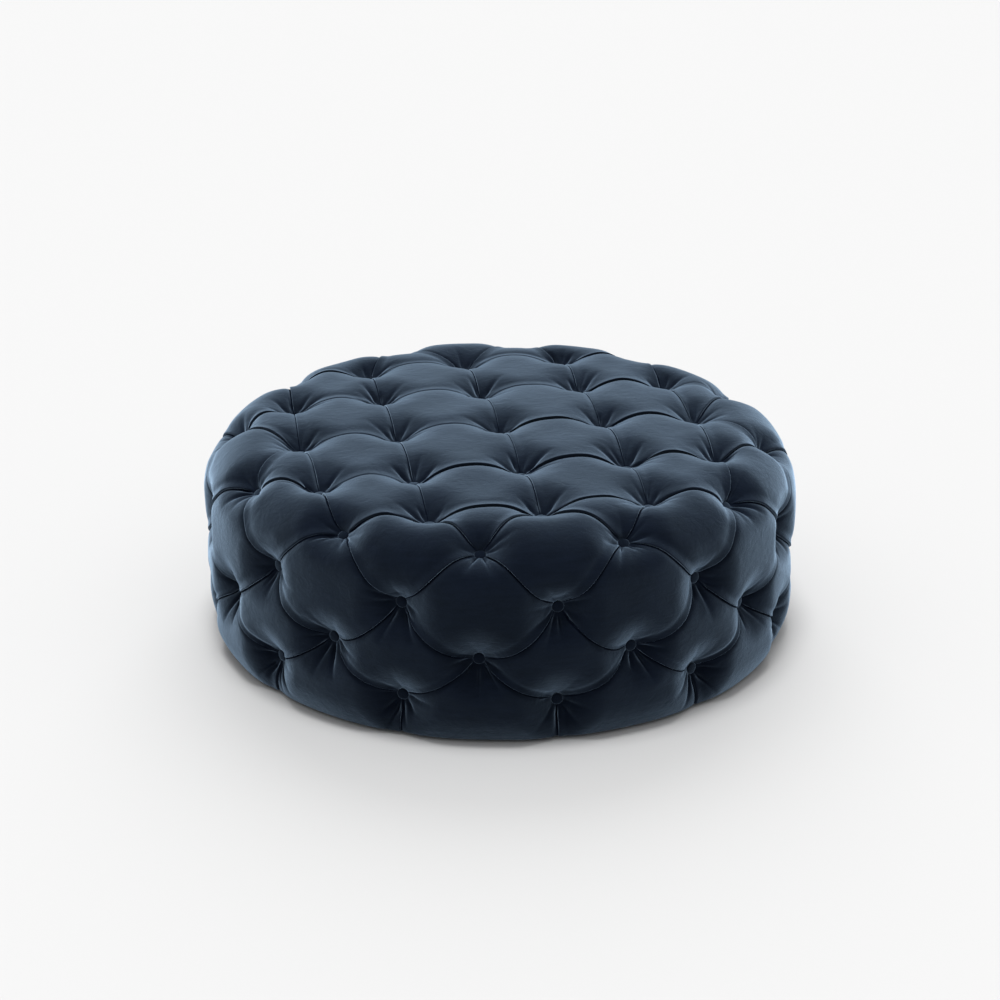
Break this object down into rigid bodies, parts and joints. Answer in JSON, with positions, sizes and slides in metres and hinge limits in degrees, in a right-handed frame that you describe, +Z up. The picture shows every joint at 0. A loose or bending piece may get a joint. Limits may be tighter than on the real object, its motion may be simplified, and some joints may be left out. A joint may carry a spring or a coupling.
{
  "type": "pouf",
  "caption": "Large round deep-buttoned velvet pouf to sit on or rest the feet on, with diamond-tufted sides and a square-tufted seat, standing on hidden glides.",
  "frame": {"origin": "on the floor, under the centre of the seat", "axes": "+Z up, X and Y along the rows of the seat's button grid"},
  "size_m": [1.08, 1.08, 0.387],
  "materials": {
    "velvet": "short-pile velvet with a soft sheen",
    "wadding": "white fibre wadding",
    "foam": "cut upholstery foam",
    "plywood": "raw birch plywood",
    "softwood": "planed softwood",
    "fibreboard": "bent hardboard",
    "twine": "waxed nylon twine",
    "washer": "moulded plastic",
    "steel": "zinc-plated steel",
    "cambric": "black non-woven cloth",
    "glide": "black moulded plastic"
  },
  "bodies": {
    "root": {"velvet_cover": "velvet", "seat_buttons": "velvet", "rim_buttons": "velvet", "row_1_buttons": "velvet", "row_2_buttons": "velvet", "row_3_buttons": "velvet", "row_4_buttons": "velvet", "fibre_wadding": "wadding", "seat_foam": "foam", "side_foam": "foam", "base_board": "plywood", "deck_board": "plywood", "upright_1": "softwood", "upright_2": "softwood", "upright_3": "softwood", "upright_4": "softwood", "upright_5": "softwood", "upright_6": "softwood", "upright_7": "softwood", "upright_8": "softwood", "cross_rail_1": "softwood", "cross_rail_2": "softwood", "side_wall": "fibreboard", "seat_twines": "twine", "rim_twines": "twine", "row_1_twines": "twine", "row_2_twines": "twine", "row_3_twines": "twine", "row_4_twines": "twine", "seat_washers": "washer", "rim_washers": "washer", "row_1_washers": "washer", "row_2_washers": "washer", "row_3_washers": "washer", "row_4_washers": "washer", "base_screws": "steel", "deck_screws": "steel", "rail_screws": "steel", "glide_screws": "steel", "wall_pins": "steel", "hem_staples": "steel", "dust_staples": "steel", "dust_cover": "cambric", "glide_1": "glide", "glide_2": "glide", "glide_3": "glide", "glide_4": "glide", "glide_5": "glide", "glide_6": "glide", "glide_7": "glide", "glide_8": "glide"}
  },
  "joints": []
}
